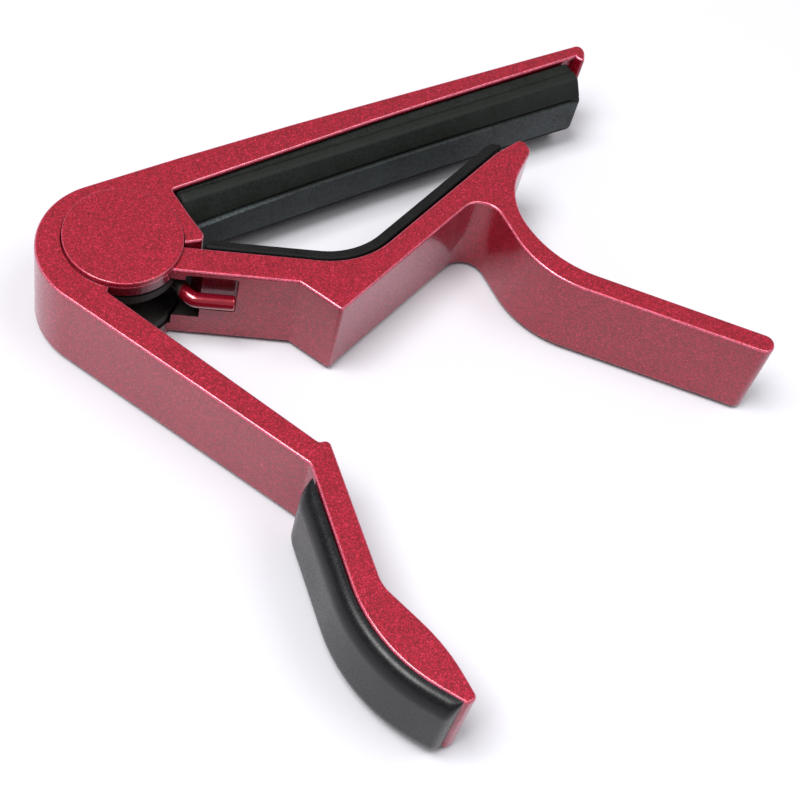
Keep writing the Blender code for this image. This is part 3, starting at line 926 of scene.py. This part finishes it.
# Painted light across the section, by distance from the middle: 1 on the face, a little on the bead's lit top.
PAINTED_LIGHT_ACROSS = ([2.45, 2.55, 3.4, 4.4, 5.2, 5.45], [1.0, 0.0, 0.0, 0.13, 0.1, 0.0])


def face_hollow(share):
    """How far the contact face lies off its mean line: one parabola towards each end from its deepest place."""
    root = 0.75 * np.clip(1 - share / HOLLOW_AT, 0, 1) ** 2
    tip = 0.30 * np.clip((share - HOLLOW_AT) / (1 - HOLLOW_AT), 0, 1) ** 2
    return 0.32 - root - tip


def string_pad_mesh():
    """The section at each station along the bar, scaled about its middle by a quarter circle at the two noses.

    The lower part of the section, which is 1 at the face and 0 at 2.95 mm of depth, takes the face's hollow and
    narrows by 0.16 over the first quarter of the length.
    """
    nose = PAD_NOSE
    bend = 1 - np.cos(np.linspace(0, math.pi / 2, 7))
    run = np.linspace(PAD_X[0] + nose, PAD_X[1] - nose, PAD_ROWS)[1:-1]
    stations = np.concatenate([PAD_X[0] + nose * bend, run, PAD_X[1] - nose * bend[::-1]])
    share = (stations - PAD_X[0]) / (PAD_X[1] - PAD_X[0])
    to_end = np.minimum(stations - PAD_X[0], PAD_X[1] - stations)
    shrink = nose - np.sqrt(np.clip(nose**2 - np.clip(nose - to_end, 0, nose) ** 2, 0, None))
    middle = (section.max(axis=0) + section.min(axis=0)) / 2
    half_size = (section.max(axis=0) - section.min(axis=0)) / 2
    plain = without_groove(section)
    fade = np.clip((to_end - GROOVE_END[0]) / GROOVE_END[1], 0, 1)
    fade = fade**2 * (3 - 2 * fade)
    profile = plain + (section - plain) * fade[:, None, None]
    rings = middle + (profile - middle) * (1 - shrink[:, None] / half_size)[:, None]
    across, depth = rings[..., 0], rings[..., 1]
    low = np.clip((2.95 - depth) / (2.95 - PAD_FACE), 0, 1)
    depth = depth + low * face_hollow(share)[:, None]
    across = across * (1 - 0.16 * low * np.clip(1 - share / 0.25, 0, 1)[:, None])
    along = np.broadcast_to(stations[:, None], across.shape)
    mesh = mesh_from_rings("string_pad_rubber", np.stack([along, depth, across + MIDDLE], -1)[:, ::-1])
    points = np.empty(len(mesh.vertices) * 3, np.float32)
    mesh.vertices.foreach_get("co", points)
    height = points.reshape(-1, 3)[:, 2].astype(float) / MM
    # Painted light, kept as a point attribute for the rubber's shader.
    worn = np.interp(abs(height - MIDDLE), *PAINTED_LIGHT_ACROSS)
    mesh.attributes.new("worn", "FLOAT", "POINT").data.foreach_set("value", worn.astype(np.float32))
    return mesh


string_pad = piece("string_pad_rubber", string_pad_mesh(), PAD_RUBBER, "string_pad", "frame", sharp=60.0)

# %% [markdown]
# ## The neck pad
#
# A thin rubber strip, bonded to the jaw where the back of the neck rests. It starts under the shoulder, follows the V
# and tapers away just before the jaw's tip. It is a plate like the castings, with softer edges.

# %% Neck pad
neck = [
    (8.75, -4.8, 0.0),
    (25.22, -13.87, 11.2),
    (50.4, -4.6, 0.0),
    (52.5, -4.0, 0.35),
    (50.7, -3.05, 1.2),
    (25.33, -12.4, 9.95),
    (9.6, -3.85, 0.35),
    (8.95, -4.2, 0.25),
]
neck_mesh = plate("neck_pad_rubber", rounded(neck, step=2.0), -HALF + 0.2, HALF - 0.2, edge=0.3)
neck_pad = piece("neck_pad_rubber", neck_mesh, NECK_RUBBER, "neck_pad", "jaw")

# %% [markdown]
# ## The handle grip
#
# The grip is moulded over the outside of the handle: two millimetres of rubber whose rim rolls over to the side wall
# in a broad curve, which carries the bright line of light. A plate with one edge radius would round the side against
# the handle too, so the grip is a section carried along the handle's outer wall instead. Its thickness grows from
# nothing as a quarter ellipse at the palm end, and ends in a steeper one at the thumb end.

# %% Grip
GRIP_WALL = [(5.2, -38.4, 0.0), (1.07, -59.57, 20.3), (7.0, -68.95, 0.0)]
GRIP_THICK = 1.9
GRIP_SUNK = 0.16  # how far the rubber reaches into the casting
GRIP_ROLL = 2.6
GRIP_TOP = HALF - 0.12
PALM_END = 2.6
THUMB_END = 1.2
GRIP_ROWS = 120


def grip_spine():
    """Stations along the handle's outer wall, closer together at both ends, with their places and the wall's length."""
    wall = rounded(GRIP_WALL, step=1.0)
    edge = wall[np.argsort(-wall[:, 1])]
    along = np.concatenate([[0], np.cumsum(np.linalg.norm(np.diff(edge, axis=0), axis=1))])
    length = along[-1]
    ends = 1 - np.cos(np.linspace(0, math.pi / 2, 14))
    run = np.linspace(PALM_END, length - THUMB_END, GRIP_ROWS)[1:-1]
    stations = np.concatenate([PALM_END * ends, run, length - THUMB_END * ends[::-1]])
    return stations, np.stack([np.interp(stations, along, edge[:, k]) for k in range(2)], 1), length


def end_thickness(distance, reach):
    """A quarter ellipse, sqrt(1 - (1 - distance / reach)^2), from almost nothing at an end to 1 past its reach."""
    return np.sqrt(np.clip(1 - np.clip(1 - distance / reach, 0, 1) ** 2, 0.0025, 1))


def grip_mesh():
    """Each section rolls from the upper side to the lower one: out by sin a ^ 0.8 while it drops by 1 - cos a."""
    stations, spine, length = grip_spine()
    slope = np.gradient(spine, axis=0)
    slope /= np.linalg.norm(slope, axis=1)[:, None]
    out = np.stack([slope[:, 1], -slope[:, 0]], 1)
    thick = GRIP_THICK * end_thickness(stations, PALM_END) * end_thickness(length - stations, THUMB_END)
    angle = np.linspace(0, math.pi / 2, 14)
    rim_out = np.sin(angle) ** 0.8
    rim_height = GRIP_TOP - GRIP_ROLL * (1 - np.cos(angle))
    wide = np.concatenate([[0.0], rim_out, rim_out[::-1], [0.0]])
    tall = np.concatenate([[GRIP_TOP], rim_height, -rim_height[::-1], [-GRIP_TOP]])
    flat = spine[:, None] + out[:, None] * (thick[:, None] * wide - GRIP_SUNK)[..., None]
    heights = np.broadcast_to(tall + MIDDLE, flat.shape[:2])
    return mesh_from_rings("grip_rubber", np.concatenate([flat, heights[..., None]], -1))


piece("grip_rubber", grip_mesh(), GRIP_RUBBER, "handle_grip", "frame", sharp=50.0)

# %% [markdown]
# ## Table, light and camera
#
# The capo lies on a pale, matt table that runs out of sight. One soft light hangs high on the left, a second, weaker
# one fills from the right, and a dim even sky lifts the rest. The table is a mid grey that the lights bring just past
# white: so the flat tops get the full light while the walls, which see mostly the table, stay softer. The camera
# looks down across the pivot, where a hand would reach for it.

# %% Table
TABLE_REACH = 3.0  # metres


def table():
    """One square face at the height of the lower cap, in a grey that hardly varies."""
    corners = np.array([(-1, -1), (1, -1), (1, 1), (-1, 1)]) * TABLE_REACH
    mesh = bpy.data.meshes.new("table")
    mesh.from_pydata([(x, y, 0.0) for x, y in corners.tolist()], [], [(0, 1, 2, 3)])
    top = Finish("pale_table", roughness=0.9, specular_ior_level=0.1)
    shade = top.noise(400.0, detail=2.0)
    top.drive(base_color=top.mix(shade, (0.54, 0.537, 0.565), (0.58, 0.577, 0.605)))
    mesh.materials.append(top.material)
    obj = bpy.data.objects.new("table", mesh)
    bpy.context.scene.collection.objects.link(obj)
    print("table", round(2 * TABLE_REACH, 1), "m wide")


table()

# %% Lights and sky
LIT_PLACE = (0.03, -0.03, 0.0)


def soft_light(name, azimuth, elevation, distance, size, power):
    """A square light that faces the capo's middle from an azimuth, 0 at -Y and 90 at +X, and an elevation.

    It stands at the middle + distance * (sin a cos e, -cos a cos e, sin e), turned by 90 degrees - e and then by a.
    """
    lamp = bpy.data.lights.new(name, "AREA")
    lamp.size = size
    lamp.energy = power
    obj = bpy.data.objects.new(name, lamp)
    bpy.context.scene.collection.objects.link(obj)
    a, e = math.radians(azimuth), math.radians(elevation)
    away = np.array((math.sin(a) * math.cos(e), -math.cos(a) * math.cos(e), math.sin(e)))
    obj.location = np.array(LIT_PLACE) + away * distance
    obj.rotation_euler = (math.pi / 2 - e, 0.0, a)


soft_light("key", azimuth=-96.0, elevation=68.0, distance=0.9, size=0.4, power=10.5)
soft_light("fill", azimuth=50.0, elevation=66.0, distance=1.1, size=0.5, power=4.6)
world = bpy.data.worlds.new("studio")
world.use_nodes = True
sky = world.node_tree.nodes["Background"]
sky.inputs["Color"].default_value = (0.95, 0.97, 1.0, 1.0)
sky.inputs["Strength"].default_value = 0.44
bpy.context.scene.world = world
bpy.context.scene.view_settings.view_transform = "Standard"
print("lights", [(lamp.name, round(lamp.energy, 1)) for lamp in bpy.data.lights if lamp.type == "AREA"])

# %% Camera
CAMERA_PLACE = (-0.05838, -0.11294, 0.17393)
CAMERA_TURN = (33.4318, -9.9587, -29.7390)  # degrees round X, Y and Z

lens = bpy.data.cameras.new("camera")
lens.sensor_width = 36.0
lens.lens = 75.945
lens.clip_start = 0.01
camera = bpy.data.objects.new("camera", lens)
bpy.context.scene.collection.objects.link(camera)
camera.location = CAMERA_PLACE
camera.rotation_euler = tuple(math.radians(a) for a in CAMERA_TURN)
bpy.context.scene.camera = camera
print("camera at", [round(c, 4) for c in camera.location])

# %% [markdown]
